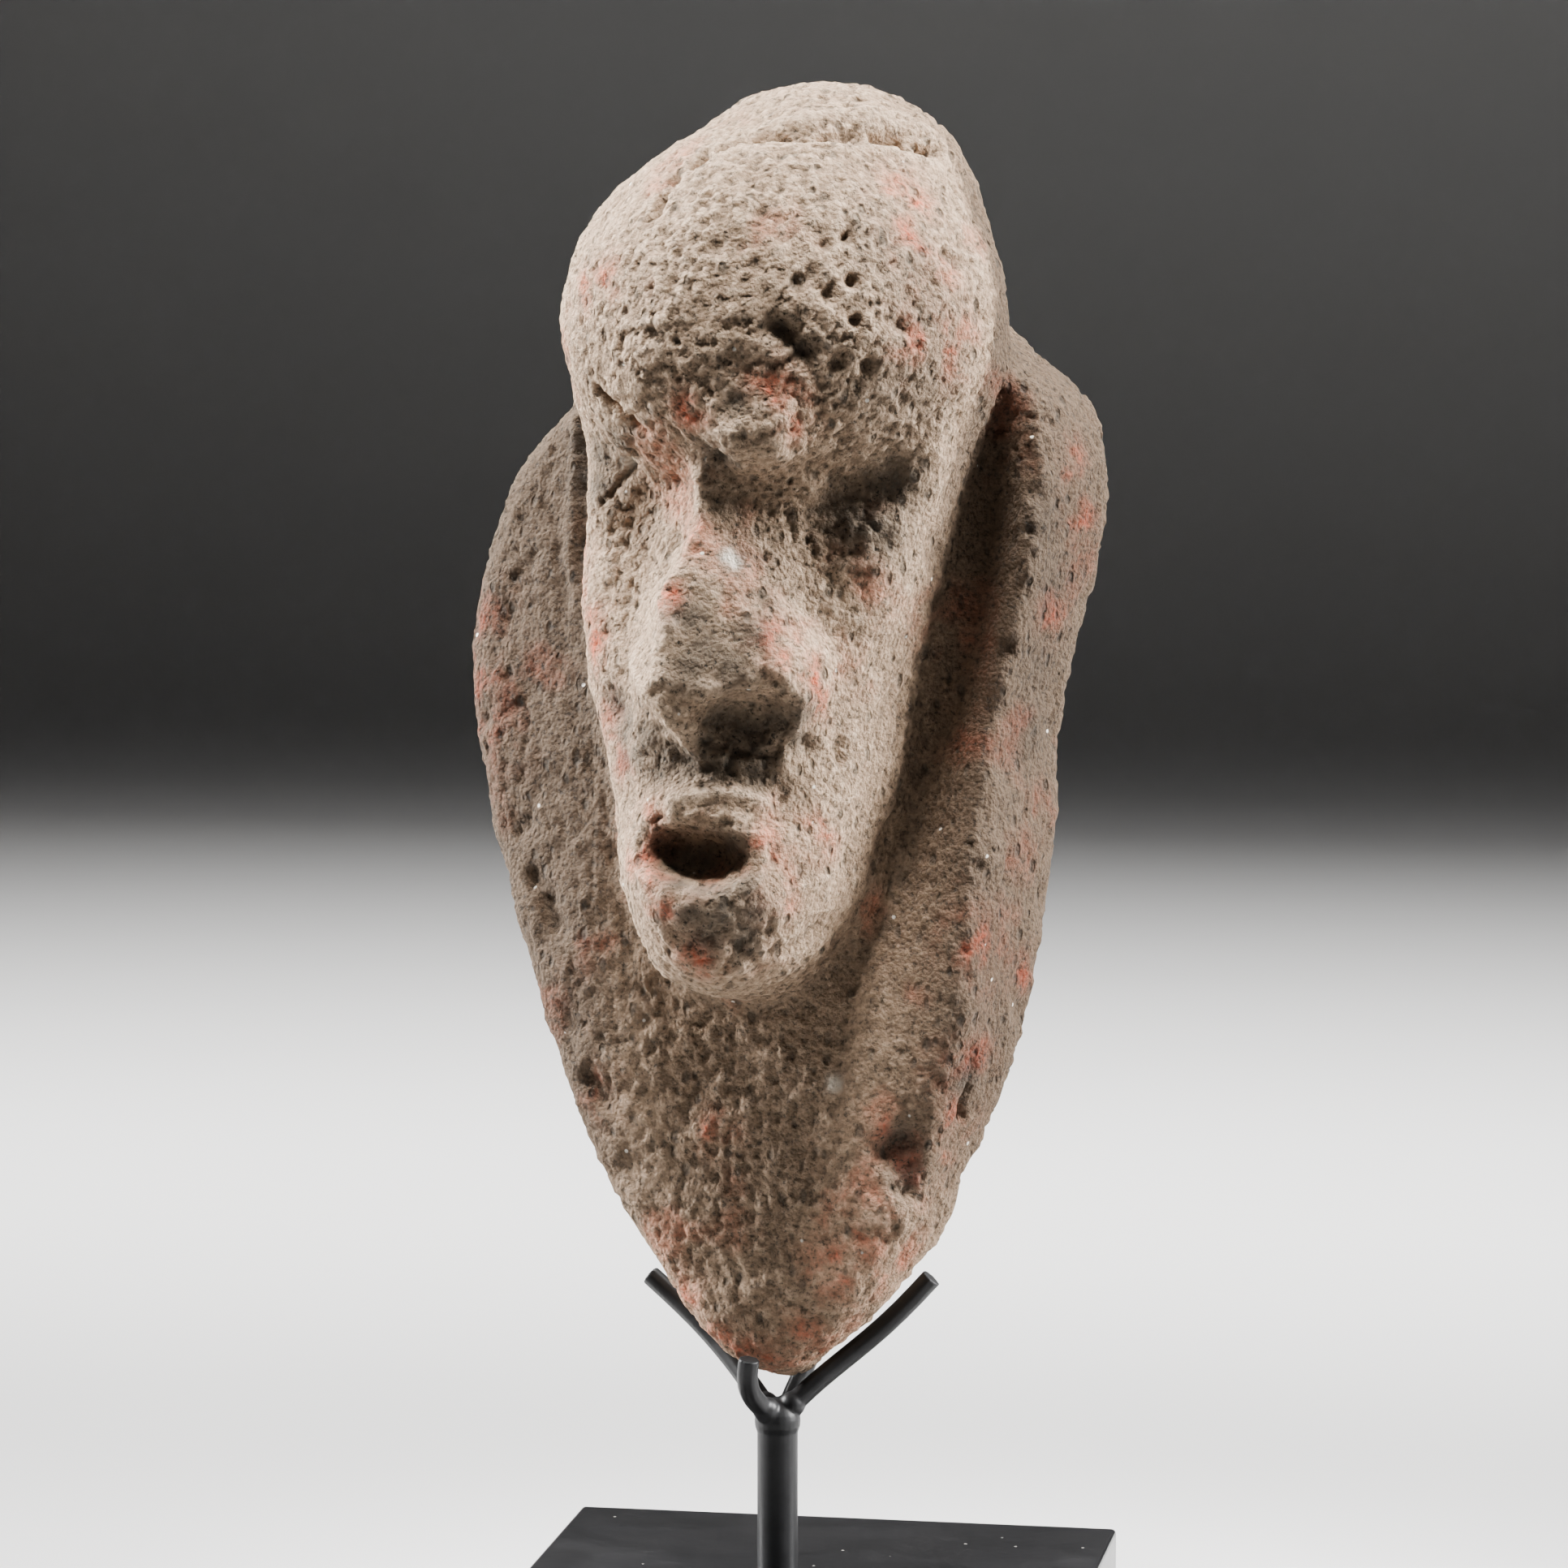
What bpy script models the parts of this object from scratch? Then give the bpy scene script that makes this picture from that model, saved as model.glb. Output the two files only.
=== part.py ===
"""A carved sandstone head on its display stand.

A leaf-shaped slab of sandstone carries a long head in high relief, under a great bulging brow.
It stands on its point in a cradle of four black steel rods on a post, which is let into a square block.
The world's origin is the middle of the block's underside, and the head looks towards -Y.
"""

from math import cos, pi, radians, sin

import bmesh
import bpy
import numpy as np
from mathutils import Euler, Matrix, Vector
from mathutils.bvhtree import BVHTree

# Block
BLOCK_WIDTH = 0.132
BLOCK_DEPTH = 0.132
BLOCK_HEIGHT = 0.030
BLOCK_EDGE_RADIUS = 0.0012

# Post and its welded top
POST_DIAMETER = 0.0095
POST_RISE = 0.0385  # from the block's top to the middle of the weld
POST_SEAT = 0.015  # how far the post is let into the block
POST_OFFSET = -0.0055  # along X from the block's middle
POST_FOOT_CHAMFER = 0.0006
POST_SIDES = 24
DOME_STEPS = 7  # points down the weld's dome

# Cradle of rods
ROD_DIAMETER = 0.0050
ROD_SAMPLES = 14  # points along each rod's route
ROD_ROUNDNESS = 3  # the curve's bevel resolution, which gives ten sides
WELD_TO_ROD = 1.08  # least radius of the weld, in rod diameters, for four rods to leave it apart
RODS = {  # corners of each rod's route after the weld, in the stone's frame and carving units
    "left_arm": ((-7, 3, -4), (-16, 13, 6), (-37, 11, 21)),
    "right_arm": ((5.5, -1, -4), (8, 9, 3), (20, 14, 9), (32, 13, 25)),
    "front_prong": ((-3, -6, -5), (-4.5, -12, -4), (-2.5, -13, 5)),
    "back_arm": ((0, 11, -9), (-2, 32, 0), (22, 22, 90), (53, 20, 174)),
}

# Fits
TOUCH_GAP = 0.0003  # between pieces that touch
SOCKET_CLEARANCE = 0.0003  # round the post in its blind hole

# Stone
STONE_HEIGHT = 0.300
STONE_YAW = radians(10)  # the face turns towards -X
STONE_LEAN = radians(8.5)  # the slab leans back on the tall rod
STONE_LIFT = 0.0100  # from the middle of the weld up to the stone's point
STONE_TRIANGLES = 7900
VOXELS = (5.0, 3.6, 2.7)  # of the remeshing rounds, in carving units

# The carving is measured in units of a 300th of the stone's height, about a millimetre each.
# Its own frame has its origin at the stone's point, X to the viewer's right, Y to the back and Z up.
UNIT = STONE_HEIGHT / 300


def curve_through(*stations):
    """A smooth function through (height, value) stations, level beyond the first and the last."""
    heights, values = np.array(stations, float).T
    rise = np.diff(values) / np.diff(heights)
    slopes = np.concatenate([rise[:1], (rise[1:] + rise[:-1]) / 2, rise[-1:]])

    def value(height):
        height = np.clip(height, heights[0], heights[-1])
        i = np.clip(np.searchsorted(heights, height) - 1, 0, len(rise) - 1)
        step = heights[i + 1] - heights[i]
        t = (height - heights[i]) / step
        return (
            values[i] * (1 + 2 * t) * (1 - t) ** 2
            + values[i + 1] * t * t * (3 - 2 * t)
            + step * t * (1 - t) * (slopes[i] * (1 - t) - slopes[i + 1] * t)
        )

    return value


def ramp(value, low, high):
    """0 below low, 1 above high and smooth between them."""
    t = np.clip((value - low) / (high - low), 0, 1)
    return t * t * (3 - 2 * t)


def bump(value, middle, width):
    """1 at the middle, dying away within about twice the width."""
    return np.exp(-(((value - middle) / width) ** 2))


def joined(a, b, blend):
    """Union of two forms, with a fillet about as wide as blend."""
    h = np.clip(0.5 + 0.5 * (b - a) / blend, 0, 1)
    return b * (1 - h) + a * h - blend * h * (1 - h)


def shared(a, b, blend):
    """What two forms have in common, with its edge rounded by about blend."""
    return -joined(-a, -b, blend)


def carved(form, cutter, blend):
    return shared(form, -cutter, blend)


def egg(p, centre, radii, tilt=(0, 0, 0)):
    """About the distance to an ellipsoid turned by tilt, in degrees about X, Y and Z."""
    turn = np.array(Euler([radians(a) for a in tilt]).to_matrix())
    q = (p - np.array(centre)) @ turn / np.array(radii)
    near = np.linalg.norm(q, axis=1)
    return near * (near - 1) / np.maximum(np.linalg.norm(q / np.array(radii), axis=1), 1e-9)


# Slab: its edges, its faces and the rim along its right side, by height above the point
SLAB_TOP = 283
LEFT_EDGE = curve_through(
    (-2, -3), (8, -15), (28, -31), (58, -49), (100, -66), (134, -78),
    (162, -83), (190, -80), (213, -70), (231, -55), (258, -46), (284, -28),
)
RIGHT_EDGE = curve_through(
    (-2, 4), (7, 15), (24, 30), (56, 44), (90, 54), (125, 57), (158, 57.5),
    (192, 64), (213, 65.5), (229, 61), (246, 41), (266, 30), (284, 15),
)
FRONT_DEPTH = curve_through((0, -9), (30, -14), (65, -18), (105, -20), (240, -20))
BACK_DEPTH = curve_through((0, 10), (30, 15), (80, 20), (140, 22), (222, 22), (254, 17), (284, 4))
RIGHT_FLARE, LEFT_FLARE = 0.24, 0.18  # how much each side widens from front to back
EDGE_DEPTH = 10  # the right edge holds this far behind the middle, the left one this far before it
FRONT_HOLLOW, BACK_HOLLOW = 3.5, 5  # how far each face falls back towards the slab's edges
WING_LINE, WING_FALL = -44, 0.16  # left of this line the front falls back by this slope
WING_START = (60, 120)  # heights between which this slope sets in
CHANNEL_DEPTH, CHANNEL_WIDTH = 6.5, 9
CHANNEL_START, CHANNEL_END = (84, 118), (222, 240)  # heights between which it deepens and runs out
RIM_HEIGHT, RIM_WIDTH = 4, 6.5
RIM_START = (55, 95)
RIM_DIP, RIM_DIP_PLACE = 0.4, (150, 22)  # share by which the rim sinks, and at what height over what spread
CHANNEL_LINE = curve_through((95, 22), (132, 31), (170, 42), (215, 50))
RIM_LINE = curve_through((60, 43), (90, 47), (123, 50), (169, 56), (213, 56), (235, 51))

# Head: half its width and its middle at the front, by height
HEAD_HALF_WIDTH = curve_through(
    (104, 20), (120, 22.5), (141, 26), (166, 32), (185, 37), (209, 42), (235, 45)
)
HEAD_MIDDLE = curve_through(
    (88, -6), (102, -5.5), (118, -5.5), (141, -6.2), (160, -7.6), (185, -5), (209, -1.8), (235, 1)
)
HEAD_WIDENING = curve_through((90, 9), (165, 9), (200, 3), (220, 0))
FACE_DEPTH = curve_through((88, -48), (100, -53), (120, -54), (150, -51), (180, -51), (215, -50))
HEAD_BACK = 6  # depth at which the head ends inside the slab
CHEEK_ROUNDING = 5.5
CHIN_HEIGHT = 87.5
JAW_HEIGHT = 115
HEAD_TOP = 240  # within the brow

# Nose: its ridge, its flanks and the facet that blunts it, turned towards the viewer's right
NOSE_X = -6
NOSE_RIDGE = curve_through((163, -79), (175, -73.5), (190, -66.5), (206, -59))
NOSE_SLOPES = (1.25, 0.86)  # of the left and the right flank
NOSE_FACET = curve_through((150, -70), (163, -69.5), (180, -67), (195, -64))  # its depth below the ridge
NOSE_FACET_SLOPE = 0.36
NOSE_LEFT_WIDTH = curve_through((140, 16), (163, 17), (185, 14), (206, 10))
NOSE_RIGHT_WIDTH = curve_through((140, 19), (163, 21.5), (185, 20), (206, 13))
NOSE_BACK = -44  # depth at which the wedge ends inside the face
NOSE_UNDERSIDE_RISE = 0.78  # climb of the nose's underside for each unit towards the viewer
NOSE_TIP = (-79, 162)  # depth and height
NOSE_TOP = 212
NOSE_BLEND = 8

# Eggs that are joined on or carved out in this order: centre, radii, tilt in degrees, blend
MUZZLE = ((-5.5, -42, 119), (20, 20, 27), (0, 0, 0), 5)
SOCKETS = (
    ((29, -62, 206), (20, 19, 14), (0, -20, 20), 9),  # right
    ((-24, -63, 200), (13, 15, 17), (0, 15, 0), 8),  # left
    ((-38, -56, 207), (8, 9, 17), (0, 8, 0), 4),  # left temple
)
BROW = ((-1, -28, 242), (51, 51, 46.5), (0, -8, 0), 6)
BROW_LUMPS = (
    ((9, -22, 274), (32, 31, 23), (0, 13, 0), 7),  # crest
    ((7, -65, 215), (10, 9, 9), (0, 0, 0), 8),  # boss above the nose
)
NOSTRIL_WINGS = (
    ((10.5, -51, 159), (9, 9, 11), (0, 35, 0), 7),
    ((-10, -60, 151.5), (4.5, 8.5, 16), (0, -42, 0), 3),
)
HOLLOWS = (
    ((8.5, -64, 148), (13.5, 11.5, 9), (0, -5, 0), 1.5),  # under the nose
    ((-21.5, -64, 148.5), (17, 9.5, 6.5), (0, 48, 0), 2.5),  # left nostril
    ((-6, -64, 119), (15.5, 15, 7.8), (0, 5, 0), 2.5),  # mouth
    ((34, -19, 53), (7, 7, 11), (0, 12, 0), 5),  # dent low on the right
)
BLANK_EGGS = (  # centre and radii of the eggs that the remeshing starts from
    ((-8, 0, 130), (70, 20, 128)),
    ((-4, -28, 160), (38, 32, 74)),
    ((-4, -28, 246), (54, 54, 50)),
)


def slab_form(x, y, z):
    """The leaf-shaped slab, blunt at its point, with a channel and a raised rim on the right."""
    middle = (LEFT_EDGE(z) + RIGHT_EDGE(z)) / 2
    half = (RIGHT_EDGE(z) - LEFT_EDGE(z)) / 2
    left = LEFT_EDGE(z) - x - LEFT_FLARE * np.minimum(y + EDGE_DEPTH, 2 * EDGE_DEPTH)
    right = x - RIGHT_EDGE(z) + RIGHT_FLARE * np.maximum(EDGE_DEPTH - y, 0)
    outline = shared(shared(left, right, 12), -z, 8)
    outline = shared(outline, z - SLAB_TOP, 14)
    off_middle = ((x - middle) / half) ** 2
    beside_head = ramp(z, *CHANNEL_START) * (1 - ramp(z, *CHANNEL_END))
    channel = CHANNEL_DEPTH * bump(x, CHANNEL_LINE(z), CHANNEL_WIDTH) * beside_head
    rim = RIM_HEIGHT * bump(x, RIM_LINE(z), RIM_WIDTH) * ramp(z, *RIM_START)
    rim *= 1 - RIM_DIP * bump(z, *RIM_DIP_PLACE)
    wing = WING_FALL * np.maximum(WING_LINE - x, 0) * ramp(z, *WING_START)
    front = FRONT_DEPTH(z) + FRONT_HOLLOW * off_middle + channel - rim + wing - y
    back = y - BACK_DEPTH(z) + BACK_HOLLOW * off_middle
    return shared(outline, shared(front, back, 8), 8)


def head_form(x, y, z):
    """The long head: flat cheeks, side planes that widen to the slab, and a rounded chin."""
    behind = np.clip((y + 50) / 34, -0.3, 1)
    half = HEAD_HALF_WIDTH(z) + HEAD_WIDENING(z) * behind
    across = (x - HEAD_MIDDLE(z)) / half
    below = np.maximum(JAW_HEIGHT - z, 0) / (JAW_HEIGHT - CHIN_HEIGHT)
    sides = (np.sqrt(across**2 + below**2) - 1) * half
    front = FACE_DEPTH(z) + CHEEK_ROUNDING * np.minimum(across**2, 1.5) - y
    head = shared(sides, front, 13)
    return np.maximum(shared(head, z - HEAD_TOP, 10), y - HEAD_BACK)


def nose_form(x, y, z):
    """A wedge with a sharp ridge, which spreads downwards to its flat underside."""
    left_slope, right_slope = NOSE_SLOPES
    beside = x - NOSE_X
    flanks = NOSE_RIDGE(z) + np.maximum(right_slope * beside, -left_slope * beside) - y
    flanks = shared(flanks, NOSE_FACET(z) + NOSE_FACET_SLOPE * beside - y, 1.5)
    tip_depth, tip_height = NOSE_TIP
    underside = tip_height - NOSE_UNDERSIDE_RISE * (y - tip_depth) - z
    wedge = shared(flanks * 0.7, underside * 0.8, 2.5)
    across = np.maximum(beside - NOSE_RIGHT_WIDTH(z), -beside - NOSE_LEFT_WIDTH(z))
    inside_face = np.maximum(y - NOSE_BACK, z - NOSE_TOP)
    return shared(wedge, np.maximum(across, inside_face), 5)


def stone_form(p):
    """Negative inside the stone and positive outside, for points in carving units."""
    x, y, z = p.T

    def with_egg(form, centre, radii, tilt, blend):
        return joined(form, egg(p, centre, radii, tilt), blend)

    def without_egg(form, centre, radii, tilt, blend):
        return carved(form, egg(p, centre, radii, tilt), blend)

    form = joined(slab_form(x, y, z), with_egg(head_form(x, y, z), *MUZZLE), 5)
    for socket in SOCKETS:
        form = without_egg(form, *socket)
    *brow_shape, brow_blend = BROW
    brow = egg(p, *brow_shape)
    for lump in BROW_LUMPS:
        brow = with_egg(brow, *lump)
    form = joined(form, brow, brow_blend)
    form = joined(form, nose_form(x, y, z), NOSE_BLEND)
    for wing in NOSTRIL_WINGS:
        form = with_egg(form, *wing)
    for hollow in HOLLOWS:
        form = without_egg(form, *hollow)
    return form


def slope_of(form, p, step=0.05):
    """The form's gradient at each point."""
    moved = [form(p + step * axis) - form(p - step * axis) for axis in np.eye(3)]
    return np.stack(moved, 1) / (2 * step)


def settle(form, p, rounds=6):
    """Moves points along the form's slope until they lie on its surface."""
    for _ in range(rounds):
        slope = slope_of(form, p)
        steep = np.maximum((slope**2).sum(1), 0.05)
        p = p - np.clip(form(p) / steep, -4, 4)[:, None] * slope
    return p


def relaxed(p, edges):
    """Each point moved half way to the middle of its neighbours."""
    total = np.zeros_like(p)
    count = np.zeros(len(p))
    for a, b in ((0, 1), (1, 0)):
        np.add.at(total, edges[:, a], p[edges[:, b]])
        np.add.at(count, edges[:, a], 1)
    return (p + total / count[:, None]) / 2


def points_of(mesh):
    p = np.empty(len(mesh.vertices) * 3)
    mesh.vertices.foreach_get("co", p)
    return p.reshape(-1, 3)


def applied(thing, name):
    """A new mesh of the object as its modifiers leave it."""
    graph = bpy.context.evaluated_depsgraph_get()
    graph.update()
    mesh = bpy.data.meshes.new_from_object(thing.evaluated_get(graph))
    mesh.name = name
    return mesh


def replace_mesh(thing, mesh):
    old = thing.data
    thing.modifiers.clear()
    thing.data = mesh
    bpy.data.meshes.remove(old)


def add_blank(name, collection):
    """The rough block of the stone, in carving units: three eggs that overlap, as one mesh."""
    mesh = bmesh.new()
    for centre, radii in BLANK_EGGS:
        place = Matrix.Translation(centre) @ Matrix.Diagonal((*radii, 1))
        bmesh.ops.create_uvsphere(mesh, u_segments=48, v_segments=24, radius=1, matrix=place)
    data = bpy.data.meshes.new(name)
    mesh.to_mesh(data)
    mesh.free()
    thing = bpy.data.objects.new(name, data)
    collection.objects.link(thing)
    return thing


def add_stone(collection, material):
    """Remeshes the blank finer each round, and settles it on the carved form."""
    stone = add_blank("stone_head", collection)
    for voxel in VOXELS:
        remesh = stone.modifiers.new("Remesh", "REMESH")
        remesh.mode = "VOXEL"
        remesh.voxel_size = voxel
        replace_mesh(stone, applied(stone, "stone_head"))
        edges = np.empty(len(stone.data.edges) * 2, np.int32)
        stone.data.edges.foreach_get("vertices", edges)
        edges = edges.reshape(-1, 2)
        p = settle(stone_form, points_of(stone.data))
        for _ in range(4):
            p = settle(stone_form, relaxed(p, edges), 2)
        stone.data.vertices.foreach_set("co", p.ravel())
        stone.data.update()
    to_world = (
        Matrix.Translation((POST_OFFSET, 0, BLOCK_HEIGHT + POST_RISE + STONE_LIFT))
        @ Matrix.Rotation(-STONE_YAW, 4, "Z")
        @ Matrix.Rotation(-STONE_LEAN, 4, "X")
    )
    stone.data.transform(Matrix.Scale(UNIT, 4))
    stone.data.calc_loop_triangles()
    fewer = stone.modifiers.new("Decimate", "DECIMATE")
    fewer.ratio = min(1.0, STONE_TRIANGLES / len(stone.data.loop_triangles))
    replace_mesh(stone, applied(stone, "stone_head"))
    stone.matrix_world = to_world
    stone.data.shade_smooth()
    stone.data.materials.append(material)
    return stone


def add_turned(name, profile, place, collection, material):
    """A turned piece: the (radius, height) profile, from the top down, swept round Z."""
    mesh = bpy.data.meshes.new(name)
    mesh.from_pydata([(r, 0, h) for r, h in profile], [(i, i + 1) for i in range(len(profile) - 1)], [])
    thing = bpy.data.objects.new(name, mesh)
    collection.objects.link(thing)
    turn = thing.modifiers.new("Screw", "SCREW")
    turn.steps = turn.render_steps = POST_SIDES
    turn.use_merge_vertices = True
    turn.merge_threshold = 0.00001
    thing.location = place
    mesh.materials.append(material)
    return thing


def weld_radius():
    """Large enough for four rods to leave the weld without meeting."""
    return max(POST_DIAMETER / 2, WELD_TO_ROD * ROD_DIAMETER)


def weld_middle():
    return Vector((POST_OFFSET, 0, BLOCK_HEIGHT + POST_RISE))


def post_profile(grow=0.0):
    """Half the outline of the post with its domed weld, from the top down, about the weld's middle."""
    dome = weld_radius() + grow
    radius = POST_DIAMETER / 2 + grow
    foot = -(POST_RISE + POST_SEAT)
    neck = -np.sqrt(max(dome**2 - radius**2, 0.0))
    last = np.arctan2(radius, neck)
    turns = [last * i / DOME_STEPS for i in range(1, DOME_STEPS + 1)]
    arc = [(dome * sin(turn), dome * cos(turn)) for turn in turns]
    chamfer = POST_FOOT_CHAMFER
    return [(0, dome), *arc, (radius, foot + chamfer), (radius - chamfer, foot), (0, foot)]


def add_post(collection, material):
    return add_turned("post", post_profile(), weld_middle(), collection, material)


def add_block(collection, cutters, material):
    """The square block, its edges rounded, with a blind hole for the post."""
    bpy.ops.mesh.primitive_cube_add(size=1, location=(0, 0, BLOCK_HEIGHT / 2))
    block = bpy.context.object
    block.name = block.data.name = "base_block"
    block.data.transform(Matrix.Diagonal((BLOCK_WIDTH, BLOCK_DEPTH, BLOCK_HEIGHT, 1)))
    move_to(block, collection)
    hole_depth = POST_SEAT + TOUCH_GAP
    bpy.ops.mesh.primitive_cylinder_add(
        vertices=POST_SIDES,
        radius=POST_DIAMETER / 2 + SOCKET_CLEARANCE,
        depth=2 * hole_depth,
        location=(POST_OFFSET, 0, BLOCK_HEIGHT),
    )
    drill = bpy.context.object
    drill.name = drill.data.name = "post_hole"
    hide_cutter(drill, cutters)
    cut = block.modifiers.new("Post hole", "BOOLEAN")
    cut.object = drill
    edge = block.modifiers.new("Edges", "BEVEL")
    edge.width = BLOCK_EDGE_RADIUS
    edge.segments = 3
    edge.limit_method = "WEIGHT"
    weights = block.data.attributes.new("bevel_weight_edge", "FLOAT", "EDGE")
    weights.data.foreach_set("value", [1.0] * len(block.data.edges))
    block.data.materials.append(material)
    return block


def move_to(thing, collection):
    for other in thing.users_collection:
        other.objects.unlink(thing)
    collection.objects.link(thing)


def hide_cutter(thing, cutters):
    move_to(thing, cutters)
    thing.hide_render = True
    thing.display_type = "WIRE"


def add_post_cutter(cutters):
    """The post grown by the touching gap, which trims the rods' roots."""
    cutter = add_turned("post_clearance", post_profile(TOUCH_GAP), weld_middle(), cutters, None)
    hide_cutter(cutter, cutters)
    return cutter


def bezier(t, corners):
    """A point of the Bezier curve with these corners."""
    points = [Vector(c) for c in corners]
    while len(points) > 1:
        points = [a.lerp(b, t) for a, b in zip(points, points[1:])]
    return points[0]


def pushed_off(surface, points):
    """The points, each moved out of the stone's skin to where a rod only touches it."""
    reach = ROD_DIAMETER / 2 + TOUCH_GAP
    moved = []
    for point in points:
        near, normal, _, _ = surface.find_nearest(point)
        away = point - near
        inside = away.dot(normal) < 0
        if inside or away.length < reach:
            point = near + (normal if inside else away.normalized()) * reach
        moved.append(point)
    return moved


def eased(route):
    """The route with its kinks evened out, its ends kept."""
    inner = [(a + 2 * b + c) / 4 for a, b, c in zip(route, route[1:], route[2:])]
    return [route[0], *inner, route[-1]]


def rod_route(stone, corners):
    """Points along a rod from the weld. The corners are in the stone's frame and carving units.
    Where they lead through the stone, the rod lies against it."""
    mesh = stone.data
    surface = BVHTree.FromPolygons([v.co for v in mesh.vertices], [f.vertices for f in mesh.polygons])
    start = stone.matrix_world.inverted() @ weld_middle()
    corners = [start, *(Vector(c) * UNIT for c in corners)]
    route = [bezier(i / (ROD_SAMPLES - 1), corners) for i in range(ROD_SAMPLES)]
    for _ in range(4):
        route = pushed_off(surface, eased(route))
    return [stone.matrix_world @ point for point in pushed_off(surface, route)]


def add_rod(name, route, cutter, collection, material):
    """A round rod along the route, with flat ends, trimmed where it meets the weld."""
    curve = bpy.data.curves.new(name, "CURVE")
    curve.dimensions = "3D"
    curve.bevel_depth = ROD_DIAMETER / 2
    curve.bevel_resolution = ROD_ROUNDNESS
    curve.use_fill_caps = True
    spline = curve.splines.new("POLY")
    spline.points.add(len(route) - 1)
    for point, place in zip(spline.points, route):
        point.co = (*place, 1)
    guide = bpy.data.objects.new(name + "_guide", curve)
    collection.objects.link(guide)
    mesh = applied(guide, name)
    bpy.data.objects.remove(guide)
    bpy.data.curves.remove(curve)
    shape = bmesh.new()
    shape.from_mesh(mesh)
    bmesh.ops.remove_doubles(shape, verts=shape.verts, dist=0.00001)
    bmesh.ops.recalc_face_normals(shape, faces=shape.faces)
    shape.to_mesh(mesh)
    shape.free()
    mesh.materials.clear()
    mesh.materials.append(material)
    rod = bpy.data.objects.new(name, mesh)
    collection.objects.link(rod)
    trim = rod.modifiers.new("Weld clearance", "BOOLEAN")
    trim.object = cutter
    return rod


def add_rods(stone, collection, cutters, material):
    cutter = add_post_cutter(cutters)
    for name, corners in RODS.items():
        add_rod(name, rod_route(stone, corners), cutter, collection, material)


def add_material(name, colour, roughness, metallic=0.0):
    material = bpy.data.materials.new(name)
    material.use_nodes = True
    surface = material.node_tree.nodes["Principled BSDF"]
    surface.inputs["Base Color"].default_value = (*colour, 1)
    surface.inputs["Roughness"].default_value = roughness
    surface.inputs["Metallic"].default_value = metallic
    material.diffuse_color = (*colour, 1)
    return material


def smooth_rounds(collection):
    for thing in collection.objects:
        if thing.name != "stone_head":
            thing.data.shade_smooth()
            thing.data.set_sharp_from_angle(angle=pi / 5)


def main():
    for thing in list(bpy.data.objects):
        bpy.data.objects.remove(thing)
    collection = bpy.data.collections.new("Sandstone head on stand")
    cutters = bpy.data.collections.new("Cutters")
    for group in (collection, cutters):
        bpy.context.scene.collection.children.link(group)
    sandstone = add_material("Sandstone", (0.36, 0.29, 0.24), 0.95)
    black_steel = add_material("Black painted steel", (0.012, 0.012, 0.013), 0.35)
    black_block = add_material("Black lacquer", (0.010, 0.010, 0.011), 0.30)
    stone = add_stone(collection, sandstone)
    add_block(collection, cutters, black_block)
    add_post(collection, black_steel)
    add_rods(stone, collection, cutters, black_steel)
    smooth_rounds(collection)


if __name__ == "__main__":
    main()
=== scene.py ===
"""Dresses a carved sandstone head and its display stand, around the part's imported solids.

The stone's solid gets a fine mesh with the pits, grooves and chips of weathered stone. The post and
its rods become one welded, painted cradle, and the block gets its lacquer.
"""

from math import cos, radians, sin

import bmesh
import bpy
import numpy as np
from bpy.props import FloatProperty, FloatVectorProperty, IntProperty, PointerProperty
from mathutils import Matrix, Vector, noise
from mathutils.bvhtree import BVHTree


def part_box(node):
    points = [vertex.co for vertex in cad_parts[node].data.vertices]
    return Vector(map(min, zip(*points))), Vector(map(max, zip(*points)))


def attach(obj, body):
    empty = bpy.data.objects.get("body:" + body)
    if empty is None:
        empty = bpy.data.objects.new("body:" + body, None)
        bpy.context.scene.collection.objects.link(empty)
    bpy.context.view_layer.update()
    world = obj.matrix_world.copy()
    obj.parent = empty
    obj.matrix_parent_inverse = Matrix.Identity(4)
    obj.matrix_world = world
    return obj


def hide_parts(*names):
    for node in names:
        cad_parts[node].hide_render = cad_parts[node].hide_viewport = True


bl_info = {
    "name": "Sandstone head",
    "version": (1, 0, 0),
    "blender": (4, 5, 0),
    "location": "View3D > Sidebar > Sandstone head",
    "description": "Dresses a carved sandstone head and its display stand",
    "category": "Object",
}

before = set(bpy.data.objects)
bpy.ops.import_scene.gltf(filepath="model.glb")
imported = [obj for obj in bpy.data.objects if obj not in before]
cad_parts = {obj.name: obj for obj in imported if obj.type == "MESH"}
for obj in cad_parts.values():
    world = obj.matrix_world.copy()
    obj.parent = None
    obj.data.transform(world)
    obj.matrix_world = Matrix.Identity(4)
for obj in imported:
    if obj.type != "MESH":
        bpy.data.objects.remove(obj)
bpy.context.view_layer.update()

# The stone's own frame is in millimetres, with X to the viewer's right, Y to the back and Z up the slab
POST_LOW, POST_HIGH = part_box("post")
STONE_POINT = Vector(((POST_LOW.x + POST_HIGH.x) / 2, (POST_LOW.y + POST_HIGH.y) / 2, 0.0785))
STONE_YAW = radians(10)
STONE_LEAN = radians(8.5)
MILLIMETRE = 0.001
STONE_PLACE = (
    Matrix.Translation(STONE_POINT)
    @ Matrix.Rotation(-STONE_YAW, 4, "Z")
    @ Matrix.Rotation(-STONE_LEAN, 4, "X")
    @ Matrix.Scale(MILLIMETRE, 4)
)

# Where one kind of surface gives way to another, in the stone's frame
FACE_TOP, BROW_BOTTOM = 200, 224  # heights: the face's fine pits below, the brow's hewn ones above
SLAB_FRONT, FACE_SIDE = 26, 36  # distances to the front: the slab's surface behind, the face's before
SLAB_CENTRE, SLAB_WING = 25, 50  # distances to the side: the slab's painted shade is darkest at its wings
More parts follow.
